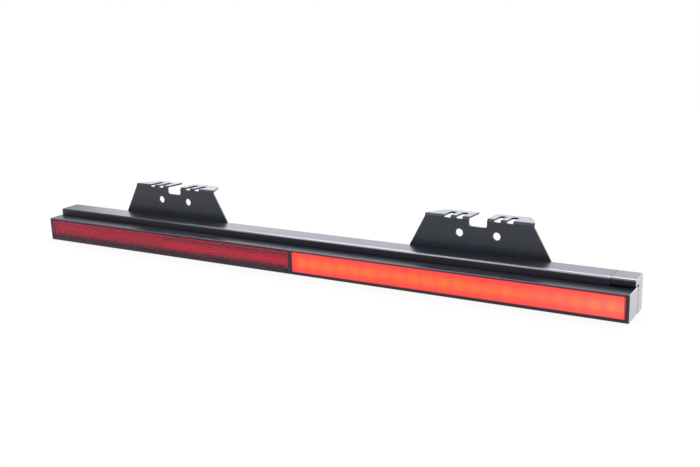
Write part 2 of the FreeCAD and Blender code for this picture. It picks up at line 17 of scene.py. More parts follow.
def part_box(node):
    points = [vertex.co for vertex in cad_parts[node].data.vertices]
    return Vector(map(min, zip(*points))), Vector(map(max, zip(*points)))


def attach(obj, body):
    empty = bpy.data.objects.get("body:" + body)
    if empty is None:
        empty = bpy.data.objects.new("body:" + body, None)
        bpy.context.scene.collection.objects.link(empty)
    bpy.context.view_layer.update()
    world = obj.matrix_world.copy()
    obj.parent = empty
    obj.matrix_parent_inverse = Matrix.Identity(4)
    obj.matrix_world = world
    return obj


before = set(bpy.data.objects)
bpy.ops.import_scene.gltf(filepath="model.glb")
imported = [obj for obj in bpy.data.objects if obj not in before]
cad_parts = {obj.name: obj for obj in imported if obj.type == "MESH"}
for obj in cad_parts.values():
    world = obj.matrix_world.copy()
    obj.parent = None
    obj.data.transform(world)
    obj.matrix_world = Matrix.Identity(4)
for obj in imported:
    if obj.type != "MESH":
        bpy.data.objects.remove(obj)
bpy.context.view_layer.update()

log = logging.getLogger("lamp_bar")

Triple = tuple[float, float, float]
Colour = Triple
WHITE: Colour = (1.0, 1.0, 1.0)
MILLIMETRE = 0.001
BODY = "root"

# The name under which the prisms' faces carry their shading.
SHADED = "shaded_face"

# The sides of a prism seen from the front, and the angle between two of its corners.
HEXAGON = 6
SECTOR = 360 // HEXAGON

# How many finer layers a noise has.
PLAIN = 1.0
USUAL = 2.0
LAYERED = 3.0


class Sides(NamedTuple):
    """The edges of an upright rectangle.

    Attributes:
        left: its left edge.
        right: its right edge.
        bottom: its lower edge.
        top: its upper edge.
    """

    left: float
    right: float
    bottom: float
    top: float

    def within(self, side: float, bottom: float, top: float) -> "Sides":
        """The rectangle that is smaller by so much at both ends, below and above."""
        return Sides(self.left + side, self.right - side, self.bottom + bottom, self.top - top)


class Axis(Enum):
    """The place of each direction in a vector."""

    ALONG = 0
    BACK = 1
    UP = 2


class Term:
    """A number that varies over a surface, written as a plain Python expression."""

    def __init__(self, graph: "Graph", socket: bpy.types.NodeSocket) -> None:
        """Wraps a socket of the graph."""
        self.graph = graph
        self.socket = socket

    def __add__(self, other: "Number") -> "Term":
        """Sum of the two."""
        return self.graph.maths("ADD", self, other)

    __radd__ = __add__

    def __sub__(self, other: "Number") -> "Term":
        """This less the other."""
        return self.graph.maths("SUBTRACT", self, other)

    def __rsub__(self, other: "Number") -> "Term":
        """The other less this."""
        return self.graph.maths("SUBTRACT", other, self)

    def __mul__(self, other: "Number") -> "Term":
        """Product of the two."""
        return self.graph.maths("MULTIPLY", self, other)

    __rmul__ = __mul__

    def __truediv__(self, other: "Number") -> "Term":
        """This divided by the other."""
        return self.graph.maths("DIVIDE", self, other)

    def __neg__(self) -> "Term":
        """This with its sign turned."""
        return self.graph.maths("MULTIPLY", self, -1.0)

    def __abs__(self) -> "Term":
        """Its size without its sign."""
        return self.graph.maths("ABSOLUTE", self)

    def exponential(self) -> "Term":
        """The natural exponential of this."""
        return self.graph.maths("EXPONENT", self)

    def fraction(self) -> "Term":
        """What is left past the whole number below."""
        return self.graph.maths("FRACT", self)

    def at_most(self, other: "Number") -> "Term":
        """The lesser of the two."""
        return self.graph.maths("MINIMUM", self, other)

    def at_least(self, other: "Number") -> "Term":
        """The greater of the two."""
        return self.graph.maths("MAXIMUM", self, other)

    def ramp(self, low: float, high: float) -> "Term":
        """A smooth rise from 0 at low to 1 at high.

        Args:
            low: the value where the rise starts.
            high: the value where it ends.

        Returns:
            The risen term, held between 0 and 1.
        """
        made = self.graph.node(
            "ShaderNodeMapRange",
            {"interpolation_type": "SMOOTHSTEP"},
            {"Value": self, "From Min": low, "From Max": high},
        )
        return Term(self.graph, made.outputs["Result"])

    def bell(self, middle: float, width: float) -> "Term":
        """A bell that is 1 at the middle and has fallen to about a third at its width."""
        aside = (self - middle) / width
        return (-(aside * aside)).exponential()

    def swing(self, share: float) -> "Term":
        """A change to both sides of 0, that share in all, from a term between 0 and 1."""
        return (self - 0.5) * share


Number = Union[Term, float]


class Graph:
    """Builds the nodes of one material or of the world."""

    def __init__(self, owner: bpy.types.Material | bpy.types.World) -> None:
        """Empties the owner's node tree.

        Args:
            owner: the material or world that gets the nodes.
        """
        self.owner = owner
        owner.use_nodes = True
        self.tree = owner.node_tree
        self.tree.nodes.clear()
        self.coordinates = self.node("ShaderNodeTexCoord").outputs

    @classmethod
    def of_material(cls, name: str) -> "Graph":
        """Starts a new material of that name."""
        return cls(bpy.data.materials.new(name))

    def node(
        self,
        kind: str,
        settings: dict[str, Any] | None = None,
        sockets: dict[str | int, Any] | None = None,
    ) -> bpy.types.Node:
        """Makes one node.

        Args:
            kind: Blender's name of the node's type.
            settings: the node's own settings, which are set first.
            sockets: a value, term or socket for each input, by name or number.

        Returns:
            The new node.
        """
        made = self.tree.nodes.new(kind)
        for name, value in (settings or {}).items():
            setattr(made, name, value)
        for name, value in (sockets or {}).items():
            self._feed(made.inputs[name], value)
        return made

    def _feed(self, socket: bpy.types.NodeSocket, value: Any) -> None:
        """Links or sets one input.

        Args:
            socket: the input.
            value: a term or socket to link, or a value to set.
        """
        if isinstance(value, Term):
            self.tree.links.new(value.socket, socket)
        elif isinstance(value, bpy.types.NodeSocket):
            self.tree.links.new(value, socket)
        elif socket.type == "RGBA":
            socket.default_value = (*value, 1.0)
        else:
            socket.default_value = value

    def maths(self, operation: str, *values: Number) -> Term:
        """Adds one Math node for the operation on the values."""
        made = self.node("ShaderNodeMath", {"operation": operation}, dict(enumerate(values)))
        return Term(self, made.outputs[0])

    def along(self, axis: Axis) -> Term:
        """The surface's place on one axis, in metres."""
        split = self.node("ShaderNodeSeparateXYZ", None, {0: self.coordinates["Object"]})
        return Term(self, split.outputs[axis.value])

    def gloss(self, straight: float) -> Term:
        """How much a clear surface mirrors from either side, by how steeply it is seen.

        Args:
            straight: how much it mirrors when it is seen straight on.

        Returns:
            A term that rises to 1 at the grazing angle.
        """
        slant = Term(self, self.node("ShaderNodeLayerWeight", None, {"Blend": 0.5}).outputs["Facing"])
        square = slant * slant
        return straight + square * square * slant * (1.0 - straight)

    def inset(self, left: float, right: float) -> Term:
        """How far in from the nearer of two ends the surface is, along the bar."""
        along = self.along(Axis.ALONG)
        return (along - left).at_most(right - along)

    def corner(self, front: float, top: float, reach: float, depth: float) -> Term:
        """The long edge where a piece's front meets its top.

        Args:
            front: the place of the front.
            top: the height of the top.
            reach: how far the edge reaches down the front.
            depth: how far it reaches back over the top.

        Returns:
            A term that is 1 on the edge and 0 past its reach.
        """
        over = (self.along(Axis.BACK) - front) * (reach / depth)
        away = over.at_least(top - self.along(Axis.UP))
        return 1.0 - away.ramp(reach / 2, reach)

    def attribute(self, name: str) -> Term:
        """A number that the mesh carries under that name."""
        made = self.node("ShaderNodeAttribute", {"attribute_type": "GEOMETRY", "attribute_name": name})
        return Term(self, made.outputs["Fac"])

    def noise(self, size: float, detail: float = USUAL, factors: Triple = (1.0, 1.0, 1.0)) -> Term:
        """Smooth noise.

        Args:
            size: how far apart its lumps are, in metres.
            detail: how many finer layers it has.
            factors: how much each axis is squeezed, less than 1 to draw the lumps out along it.

        Returns:
            A term between 0 and 1.
        """
        squeezed = self.node(
            "ShaderNodeVectorMath", {"operation": "MULTIPLY"}, {0: self.coordinates["Object"], 1: factors}
        )
        made = self.node(
            "ShaderNodeTexNoise",
            {"noise_dimensions": "3D"},
            {"Vector": squeezed.outputs[0], "Scale": 1.0 / size, "Detail": detail},
        )
        return Term(self, made.outputs["Fac"])

    def blend(self, share: Number, first: Any, second: Any) -> bpy.types.NodeSocket:
        """Mixes two colours.

        Args:
            share: 0 for the first colour alone, 1 for the second.
            first: a colour or a socket that gives one.
            second: the same.

        Returns:
            The socket of the mixed colour.
        """
        made = self.node(
            "ShaderNodeMix",
            {"data_type": "RGBA", "clamp_factor": True},
            {0: share, 6: first, 7: second},
        )
        return made.outputs[2]

    def relief(
        self, height: Number, depth: float, under: bpy.types.NodeSocket | None = None
    ) -> bpy.types.NodeSocket:
        """Bumps the surface.

        Args:
            height: the relief, from 0 to 1.
            depth: the height of 1, in metres.
            under: a coarser relief that this one lies on.

        Returns:
            The socket for a shader's Normal.
        """
        sockets: dict[str | int, Any] = {"Height": height, "Distance": depth, "Strength": 1.0}
        if under is not None:
            sockets["Normal"] = under
        return self.node("ShaderNodeBump", None, sockets).outputs["Normal"]

    def seen(self) -> Term:
        """1 for what the camera sees, straight or in gloss or glass, and 0 for light on things.

        Returns:
            A term that is 0 or 1.
        """
        path = self.node("ShaderNodeLightPath").outputs
        straight = Term(self, path["Is Camera Ray"])
        glossy = Term(self, path["Is Glossy Ray"])
        through = Term(self, path["Is Transmission Ray"])
        return straight.at_least(glossy).at_least(through)

    def finish(self, sockets: dict[str | int, Any]) -> bpy.types.Material:
        """Ends the material with one Principled shader.

        Args:
            sockets: the shader's inputs.

        Returns:
            The finished material.
        """
        shader = self.node("ShaderNodeBsdfPrincipled", None, sockets)
        self.node("ShaderNodeOutputMaterial", None, {"Surface": shader.outputs[0]})
        return self.owner


def shade(colour: Colour, factor: float) -> Colour:
    """The colour made lighter or darker by the factor."""
    red, green, blue = colour
    return red * factor, green * factor, blue * factor


@dataclass(frozen=True)
class GrainedFinish:
    """A plain finish with a fine grain and slow changes of tone and gloss.

    Attributes:
        name: the material's name.
        colour: its own colour.
        roughness: how matt it is.
        ior: how strongly it mirrors.
        grain: how far apart the grain's lumps are.
        grain_depth: how deep they are.
        grain_share: how much of the tone follows the grain.
        cloud: how far apart the slow changes of tone are.
        cloud_share: how much they change the tone and the gloss.
        metallic: 1 for bare metal.
    """

    name: str
    colour: Colour
    roughness: float = 0.4
    ior: float = 1.5
    grain: float = 0.35 * MILLIMETRE
    grain_depth: float = 0.004 * MILLIMETRE
    grain_share: float = 0.3
    cloud: float = 30 * MILLIMETRE
    cloud_share: float = 0.12
    metallic: float = 0.0

    def material(self) -> bpy.types.Material:
        """Builds the node-based material.

        Returns:
            The finished material.
        """
        graph = Graph.of_material(self.name)
        grain = graph.noise(self.grain, LAYERED)
        tone = (1.0 - self.grain_share) * graph.noise(self.cloud) + self.grain_share * grain
        darker = shade(self.colour, 1.0 - self.cloud_share)
        lighter = shade(self.colour, 1.0 + self.cloud_share)
        return graph.finish(
            {
                "Base Color": graph.blend(tone, darker, lighter),
                "Roughness": self.roughness + tone.swing(self.cloud_share),
                "Metallic": self.metallic,
                "IOR": self.ior,
                "Normal": graph.relief(grain, self.grain_depth),
            }
        )


@dataclass(frozen=True)
class MouldedPlastic:
    """Black moulded plastic: grained along the bar, polished on its flat ends and upper front edge. The
    ends' lighter colour is a painted sheen.

    Attributes:
        name: the material's name.
        end: the place of the ends along the bar, to either side.
        front: the place of the front.
        top: the height of the top.
        colour: its own colour.
        darker: factor of its darkest tone.
        lighter: factor of its lightest tone.
        roughness: how matt the grained faces are.
        ior: how strongly the grained faces mirror.
        painted_end_sheen: the ends' colour, much lighter than the rest as a painted sheen.
        end_roughness: how matt they are.
        end_inset: how far in from the ends their polish starts.
        end_rest: how far in from them it is full.
        coat_ior: how strongly the polish mirrors.
        coat_roughness: how matt it is.
        coat_share: how much of it the ends have at least.
        coat_swing: how much more they have in places.
        edge: how far the polish of the front's upper edge reaches down.
        edge_depth: how far it reaches back.
        edge_share: how much of it there is.
        grain: how far apart the grain's lumps are.
        grain_depth: how deep they are.
        smoothing: how much of the grain the polish takes away.
        cloud: how far apart the slow changes of tone are.
        gloss_swing: how much they change the gloss.
    """

    name: str
    end: float
    front: float
    top: float
    colour: Colour = (0.0115, 0.012, 0.022)
    darker: float = 0.85
    lighter: float = 1.2
    roughness: float = 0.35
    ior: float = 1.45
    # The ends' colour is a painted sheen, far lighter than the black of the rest.
    painted_end_sheen: Colour = (0.092, 0.094, 0.112)
    end_roughness: float = 0.13
    end_inset: float = 0.5 * MILLIMETRE
    end_rest: float = 0.1 * MILLIMETRE
    coat_ior: float = 2.0
    coat_roughness: float = 0.07
    coat_share: float = 0.91
    coat_swing: float = 0.1
    edge: float = 1.2 * MILLIMETRE
    edge_depth: float = 1.2 * MILLIMETRE
    edge_share: float = 0.55
    grain: float = 0.4 * MILLIMETRE
    grain_depth: float = 0.005 * MILLIMETRE
    smoothing: float = 0.9
    cloud: float = 25 * MILLIMETRE
    gloss_swing: float = 0.12

    def material(self) -> bpy.types.Material:
        """Builds the node-based material.

        Returns:
            The finished material.
        """
        graph = Graph.of_material(self.name)
        polish = abs(graph.along(Axis.ALONG)).ramp(self.end - self.end_inset, self.end - self.end_rest)
        corner = graph.corner(self.front, self.top, self.edge, self.edge_depth)
        cloud = graph.noise(self.cloud, LAYERED)
        grain = graph.noise(self.grain, LAYERED)
        grained = graph.blend(cloud, shade(self.colour, self.darker), shade(self.colour, self.lighter))
        roughness = self.roughness + polish * (self.end_roughness - self.roughness)
        coat = polish * (self.coat_share + self.coat_swing * cloud)
        return graph.finish(
            {
                # Painted sheen: the polished ends get the much lighter colour.
                "Base Color": graph.blend(polish, grained, self.painted_end_sheen),
                "Roughness": roughness + cloud.swing(self.gloss_swing),
                "IOR": self.ior,
                "Coat Weight": coat.at_least(corner * self.edge_share),
                "Coat Roughness": self.coat_roughness,
                "Coat IOR": self.coat_ior,
                "Normal": graph.relief(grain * (1.0 - self.smoothing * polish), self.grain_depth),
            }
        )


@dataclass(frozen=True)
class PowderCoat:
    """Black powder coat over sheet steel: orange peel under a fine grit, with faint upright rolling marks.

    Attributes:
        name: the material's name.
        colour: the coat's own colour.
        darker: factor of its darkest tone.
        lighter: factor of its lightest tone.
        roughness: how matt it is.
        ior: how strongly it mirrors.
        peel: how far apart the orange peel's waves are.
        peel_depth: how deep they are.
        grit: how far apart the grit's grains are.
        grit_depth: how deep they are.
        grit_swing: how much the grit changes the gloss.
        cloud: how far apart the slow changes of tone are.
        streak: how far apart the upright marks are.
        streak_squeeze: how much they are drawn out upwards, less than 1 for longer ones.
        streak_share: how much of the tone follows them.
        low_tone: where the tone is darkest.
        high_tone: where it is lightest.
        gloss_swing: how much the tone changes the gloss.
    """

    name: str = "powder_coat"
    colour: Colour = (0.009, 0.013, 0.027)
    darker: float = 0.72
    lighter: float = 1.35
    roughness: float = 0.32
    ior: float = 1.54
    peel: float = 1.6 * MILLIMETRE
    peel_depth: float = 0.010 * MILLIMETRE
    grit: float = 0.25 * MILLIMETRE
    grit_depth: float = 0.003 * MILLIMETRE
    grit_swing: float = 0.06
    cloud: float = 38 * MILLIMETRE
    streak: float = 4.0 * MILLIMETRE
    streak_squeeze: float = 0.05
    streak_share: float = 0.45
    low_tone: float = 0.3
    high_tone: float = 0.7
    gloss_swing: float = 0.2

    def material(self) -> bpy.types.Material:
        """Builds the node-based material.

        Returns:
            The finished material.
        """
        graph = Graph.of_material(self.name)
        cloud = graph.noise(self.cloud, LAYERED)
        streaks = graph.noise(self.streak, LAYERED, (1.0, 1.0, self.streak_squeeze))
        peel = graph.relief(graph.noise(self.peel, PLAIN), self.peel_depth)
        grit = graph.noise(self.grit)
        tone = (1.0 - self.streak_share) * cloud + self.streak_share * streaks
        level = tone.ramp(self.low_tone, self.high_tone)
        darker, lighter = shade(self.colour, self.darker), shade(self.colour, self.lighter)
        return graph.finish(
            {
                "Base Color": graph.blend(level, darker, lighter),
                "Roughness": self.roughness + tone.swing(self.gloss_swing) + grit.swing(self.grit_swing),
                "IOR": self.ior,
                "Normal": graph.relief(grit, self.grit_depth, peel),
            }
        )


@dataclass(frozen=True)
class DrawnAluminium:
    """Black anodised extrusion with the fine lines that the die leaves along it, and a painted highlight on
    its front edge.

    Attributes:
        front: the place of the front.
        top: the height of the top.
        name: the material's name.
        colour: the dyed coat's colour.
        darker: factor of its darkest tone.
        lighter: factor of its lightest tone.
        roughness: how matt it is.
        ior: how strongly it mirrors.
        edge: how far the painted highlight on the front edge reaches down.
        edge_depth: how far it reaches back.
        bare: the colour of the bare metal that paints the highlight.
        highlight_from: where along the bar the painted highlight starts.
        highlight_to: where it is brightest.
        line: how far apart the die lines are.
        line_depth: how deep they are.
        line_squeeze: how much they are drawn out along the bar, less than 1 for longer ones.
        line_swing: how much they change the gloss.
        cloud: how far apart the slow changes of tone are.
        cloud_squeeze: how much they are drawn out along the bar.
        cloud_swing: how much they change the gloss.
    """

    front: float
    top: float
    name: str = "black_anodised"
    colour: Colour = (0.021, 0.0215, 0.030)
    darker: float = 0.8
    lighter: float = 1.25
    roughness: float = 0.33
    ior: float = 1.38
    edge: float = 1.9 * MILLIMETRE
    edge_depth: float = 4.8 * MILLIMETRE
    # Bare metal colour that paints a highlight along the front edge.
    bare: Colour = (0.27, 0.27, 0.30)
    highlight_from: float = -340 * MILLIMETRE
    highlight_to: float = 60 * MILLIMETRE
    line: float = 0.6 * MILLIMETRE
    line_depth: float = 0.0025 * MILLIMETRE
    line_squeeze: float = 0.006
    line_swing: float = 0.1
    cloud: float = 60 * MILLIMETRE
    cloud_squeeze: float = 0.4
    cloud_swing: float = 0.08

    def material(self) -> bpy.types.Material:
        """Builds the node-based material.

        Returns:
            The finished material.
        """
        graph = Graph.of_material(self.name)
        lines = graph.noise(self.line, LAYERED, (self.line_squeeze, 1.0, 1.0))
        cloud = graph.noise(self.cloud, factors=(self.cloud_squeeze, 1.0, 1.0))
        # Painted highlight along the front edge, fading out towards the bar's left end.
        highlight_fade = graph.along(Axis.ALONG).ramp(self.highlight_from, self.highlight_to)
        corner = highlight_fade * graph.corner(self.front, self.top, self.edge, self.edge_depth)
        dyed = graph.blend(cloud, shade(self.colour, self.darker), shade(self.colour, self.lighter))
        return graph.finish(
            {
                "Base Color": graph.blend(corner, dyed, self.bare),
                "Metallic": corner,
                "Roughness": self.roughness + cloud.swing(self.cloud_swing) + lines.swing(self.line_swing),
                "IOR": self.ior,
                "Normal": graph.relief(lines, self.line_depth),
            }
        )


@dataclass(frozen=True)
class LitLens:
    """Clear red moulding in front of lit diodes, which show as soft round spots.

    Attributes:
        first_diode: the place along the bar of the first diode.
        pitch: how far apart the diodes are.
        middle: the height of the diodes.
        half_height: half of the lens's height.
        left: the lens's left edge.
        right: the lens's right edge.
        name: the material's name.
        core: the colour of the light along the middle.
        edge: its colour near the long edges.
        spot: its colour at a diode.
        pale: its colour towards the right end, paler there as a painted reflection.
        end_spot: the colour at a diode there, paler with the painted reflection.
        rim: the colour of the rounded edge.
        moulding: the moulding's own colour.
        rim_moulding: its own colour at the edge.
        roughness: how matt it is.
        roughness_swing: how much more matt it is in places.
        roughness_cloud: how far apart those places are.
        ior: how strongly it mirrors.
        ripple: how far apart the waves of its face are.
        ripple_depth: how deep they are.
        spot_radius: how wide a spot is.
        rim_width: how wide the darker edge is.
        band_share: how wide the brighter band along the middle is, next to the half height.
        end_fade: how far from the lens's left end the light falls off.
        end_shade: how wide the dark edge at its right end is.
        pale_from: where the painted reflection starts to make the light paler, as a share of the right
            edge's place.
        pale_to: where it is palest.
        drift: how far apart the slow changes of the light are.
        low_drift: where they are weakest.
        high_drift: where they are strongest.
        core_least: how much of the core's colour shows at least.
        core_drift: how much more the drift adds.
        pale_least: how much of the pale colour shows at least.
        pale_band: how much more the band adds.
        spot_least: how much of a spot shows at least.
        spot_drift: how much more the drift adds.
        spot_end: how much more shows at the right end.
    """

    first_diode: float
    pitch: float
    middle: float
    half_height: float
    left: float
    right: float
    name: str = "lit_lens"
    core: Colour = (0.96, 0.108, 0.038)
    edge: Colour = (0.95, 0.034, 0.042)
    spot: Colour = (0.98, 0.175, 0.022)
    # The paler colours towards the right end are a painted reflection.
    pale: Colour = (0.98, 0.145, 0.115)
    end_spot: Colour = (0.98, 0.270, 0.095)
    rim: Colour = (0.55, 0.003, 0.018)
    moulding: Colour = (0.12, 0.002, 0.003)
    rim_moulding: Colour = (0.05, 0.0, 0.002)
    roughness: float = 0.10
    roughness_swing: float = 0.05
    roughness_cloud: float = 2 * MILLIMETRE
    ior: float = 1.45
    ripple: float = 9 * MILLIMETRE
    ripple_depth: float = 0.004 * MILLIMETRE
    spot_radius: float = 4.6 * MILLIMETRE
    rim_width: float = 0.9 * MILLIMETRE
    band_share: float = 0.62
    end_fade: float = 12 * MILLIMETRE
    end_shade: float = 0.7 * MILLIMETRE
    pale_from: float = 0.55
    pale_to: float = 1.1
    drift: float = 60 * MILLIMETRE
    low_drift: float = 0.3
    high_drift: float = 0.7
    core_least: float = 0.80
    core_drift: float = 0.25
    pale_least: float = 0.35
    pale_band: float = 0.50
    spot_least: float = 0.22
    spot_drift: float = 0.50
    spot_end: float = 0.15

    def material(self) -> bpy.types.Material:
        """Builds the node-based material.

        Returns:
            The finished material.
        """
        graph = Graph.of_material(self.name)
        up = graph.along(Axis.UP) - self.middle
        inset = graph.inset(self.left, self.right - self.end_shade)
        inside = (self.half_height - abs(up)).at_most(inset).ramp(0.0, self.rim_width)
        waves = graph.noise(self.ripple, PLAIN)
        return graph.finish(
            {
                "Base Color": graph.blend(inside, self.rim_moulding, self.moulding),
                "Roughness": self.roughness + self.roughness_swing * graph.noise(self.roughness_cloud),
                "IOR": self.ior,
                "Emission Color": graph.blend(inside, self.rim, self._light(graph, up)),
                "Emission Strength": 1.0,
                "Normal": graph.relief(waves, self.ripple_depth),
            }
        )

    def _light(self, graph: Graph, up: Term) -> bpy.types.NodeSocket:
        """Mixes the light inside the rim: a band with a spot at each diode, made paler to the right by a
        painted reflection.

        Args:
            graph: the material's graph.
            up: how far above the diodes the surface is.

        Returns:
            The socket of the light's colour.
        """
        along = graph.along(Axis.ALONG)
        aside = (((along - self.first_diode) / self.pitch + 0.5).fraction() - 0.5) * self.pitch
        spot = (-((aside * aside + up * up) / (2 * self.spot_radius**2))).exponential()
        drift = graph.noise(self.drift).ramp(self.low_drift, self.high_drift)
        lit = along.ramp(self.left, self.left + self.end_fade)
        band = up.bell(0.0, self.band_share * self.half_height) * lit
        # Painted reflection that makes the light paler towards the right end.
        end = along.ramp(self.pale_from * self.right, self.pale_to * self.right)
        light = graph.blend(band * (self.core_least + self.core_drift * drift), self.edge, self.core)
        light = graph.blend(end * (self.pale_least + self.pale_band * band), light, self.pale)
        share = self.spot_least + self.spot_drift * drift + self.spot_end * end
        return graph.blend(spot * lit * share, light, graph.blend(end, self.spot, self.end_spot))


@dataclass(frozen=True)
class ReflectorCover:
    """Clear red moulding over the prisms: its front shows only as gloss, and its walls glow red.

    Attributes:
        left: its left edge.
        right: its right edge.
        bottom: its lower edge.
        top: its upper edge.
        front: its outer face, from front to back.
        face: the thickness of its front.
        name: the material's name.
        gloss: the tint of its gloss.
        wall: the colour of its lit walls.
        shaded: the colour of its walls low down.
        straight: how much it mirrors when it is seen straight on.
        ior: how strongly its walls mirror.
        roughness: how matt its front is.
        wall_roughness: how much more matt its walls are.
        skin: how far back from the outer face the front's gloss ends.
        pane_inset: how far in from its edges the pane behind the front starts.
        soft: how far a change from one of its parts to the next reaches.
        lit_from: how far above the lower edge the walls start to be lit.
        lit_to: how far above it they are fully lit.
        smear: how far apart the smears of its gloss are.
        smear_share: how much more it mirrors where they are thickest.
        smear_least: how much it mirrors where there are none, next to a clean face.
        smear_matt: how much more matt they are.
    """

    left: float
    right: float
    bottom: float
    top: float
    front: float
    face: float
    name: str = "red_cover"
    gloss: Colour = (0.86, 0.84, 1.0)
    wall: Colour = (0.60, 0.004, 0.045)
    shaded: Colour = (0.19, 0.001, 0.012)
    straight: float = 0.042
    ior: float = 1.3
    roughness: float = 0.05
    wall_roughness: float = 0.3
    skin: float = 0.5 * MILLIMETRE
    pane_inset: float = 1.3 * MILLIMETRE
    soft: float = 0.2 * MILLIMETRE
    lit_from: float = 1.5 * MILLIMETRE
    lit_to: float = 5 * MILLIMETRE
    smear: float = 14 * MILLIMETRE
    smear_share: float = 0.08
    smear_least: float = 0.98
    smear_matt: float = 0.02

    def material(self) -> bpy.types.Material:
        """Builds the node-based material.

        Returns:
            The finished material.
        """
        graph = Graph.of_material(self.name)
        back = graph.along(Axis.BACK) - self.front
        up = graph.along(Axis.UP)
        outer = 1.0 - back.ramp(self.skin, self.skin + self.soft)
        inset = graph.inset(self.left, self.right).at_most((up - self.bottom).at_most(self.top - up))
        level = 1.0 - abs(back - self.face).ramp(self.soft / 4, self.soft / 2)
        pane = level * inset.ramp(self.pane_inset, self.pane_inset + self.soft)
        smear = graph.noise(self.smear)
        film = graph.gloss(self.straight) * (self.smear_least + self.smear_share * smear)
        lit = up.ramp(self.bottom + self.lit_from, self.bottom + self.lit_to)
        return graph.finish(
            {
                "Base Color": graph.blend(outer, graph.blend(lit, self.shaded, self.wall), self.gloss),
                "Metallic": outer,
                "Roughness": self.roughness + self.smear_matt * smear + (1.0 - outer) * self.wall_roughness,
                "Alpha": outer * film + (1.0 - outer) * (1.0 - pane),
                "IOR": self.ior,
            }
        )


@dataclass(frozen=True)
class PrismPlastic:
    """Red prism moulding: each prism has one face with painted shade, and painted light brightens the field
    along a band.

    Attributes:
        split: where the left zone ends and the right one starts.
        left: left edge of the prism field.
        right: its right edge.
        low: its lower edge.
        high: its upper edge.
        name: the material's name.
        bright: colour of the prisms in the band of painted light.
        dull: colour of the prisms away from the bright band.
        dark: colour of the painted shade on one face of each prism.
        border: colour of the plain border below the field.
        trim: colour of the plain border above it.
        side: colour of the plain borders at its ends.
        roughness: how matt it is.
        roughness_swing: how much more matt it is in places.
        ior: how strongly it mirrors.
        left_share: how bright the left zone's band is next to the right zone's.
        left_band: height of the bright band in the left zone.
        right_band: height of the bright band in the right zone.
        left_width: how wide the left zone's band is.
        right_width: how wide the right zone's band is.
        left_face_shade: how strong the painted shade on those faces is in the left zone.
        right_face_shade: the same in the right zone.
        face_shade_least: how dark they are at least, next to that.
        face_shade_swing: how much darker they are in places.
        merge: how far to each side of the split the zones' tones merge.
        sharp: how far to each side of the field's edge its tone merges with the border's.
        low_soft: how far it merges above its lower edge.
        cloud: how far apart the slow changes of tone are.
    """

    split: float
    left: float
    right: float
    low: float
    high: float
    name: str = "red_prisms"
    bright: Colour = (0.93, 0.002, 0.036)
    dull: Colour = (0.40, 0.001, 0.030)
    dark: Colour = (0.16, 0.001, 0.022)
    border: Colour = (0.115, 0.001, 0.012)
    trim: Colour = (0.52, 0.001, 0.034)
    side: Colour = (0.38, 0.001, 0.042)
    roughness: float = 0.3
    roughness_swing: float = 0.1
    ior: float = 1.15
    left_share: float = 0.45
    left_band: float = 16.4 * MILLIMETRE
    right_band: float = 13.6 * MILLIMETRE
    left_width: float = 7.5 * MILLIMETRE
    right_width: float = 5.8 * MILLIMETRE
    left_face_shade: float = 0.12
    right_face_shade: float = 0.74
    face_shade_least: float = 0.8
    face_shade_swing: float = 0.4
    merge: float = 6 * MILLIMETRE
    sharp: float = 0.1 * MILLIMETRE
    low_soft: float = 0.25 * MILLIMETRE
    cloud: float = 40 * MILLIMETRE

    def material(self) -> bpy.types.Material:
        """Builds the node-based material.

        Returns:
            The finished material.
        """
        graph = Graph.of_material(self.name)
        up = graph.along(Axis.UP)
        zone = graph.along(Axis.ALONG).ramp(self.split - self.merge, self.split + self.merge)
        # Painted light: a bright band along each zone, at its own height.
        left = self.left_share * up.bell(self.left_band, self.left_width)
        right = up.bell(self.right_band, self.right_width)
        cloud = graph.noise(self.cloud)
        # Painted shade on the one face of each prism that the mesh marks.
        face_shade = self.left_face_shade + zone * (self.right_face_shade - self.left_face_shade)
        face_shade = graph.attribute(SHADED) * face_shade * (self.face_shade_least + self.face_shade_swing * cloud)
        prisms = graph.blend(left + zone * (right - left), self.dull, self.bright)
        prisms = graph.blend(face_shade, prisms, self.dark)
        above = up.ramp(self.high - self.sharp, self.high + self.sharp)
        prisms = graph.blend(above, prisms, self.trim)
        beside = graph.inset(self.left, self.right).ramp(-self.sharp, self.sharp)
        prisms = graph.blend(beside, self.side, prisms)
        inside = up.ramp(self.low - self.sharp / 2, self.low + self.low_soft)
        return graph.finish(
            {
                "Base Color": graph.blend(inside, self.border, prisms),
                "Roughness": self.roughness + self.roughness_swing * cloud,
                "IOR": self.ior,
            }
        )


class Piece:
    """Turns forms into finished pieces of the bar."""

    @staticmethod
    def made(mesh: bmesh.types.BMesh, name: str, material: bpy.types.Material, slot: str) -> None:
        """Makes a piece that rides on the bar.

        Args:
            mesh: its form, freed here.
            name: the piece's name.
            material: its finish.
            slot: not used.
        """
        data = bpy.data.meshes.new(name)
        mesh.to_mesh(data)
        mesh.free()
        data.materials.append(material)
        piece = bpy.data.objects.new(name, data)
        bpy.context.scene.collection.objects.link(piece)
        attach(piece, BODY)
        log.info("%s: %d faces", name, len(data.polygons))

    @staticmethod
    def dressed(node: str, material: bpy.types.Material) -> None:
        """Gives a CAD node its finish.

        Args:
            node: the node's name.
            material: its finish.
        """
        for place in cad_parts[node].material_slots:
            place.material = material
        log.info("%s: keeps its CAD form", node)


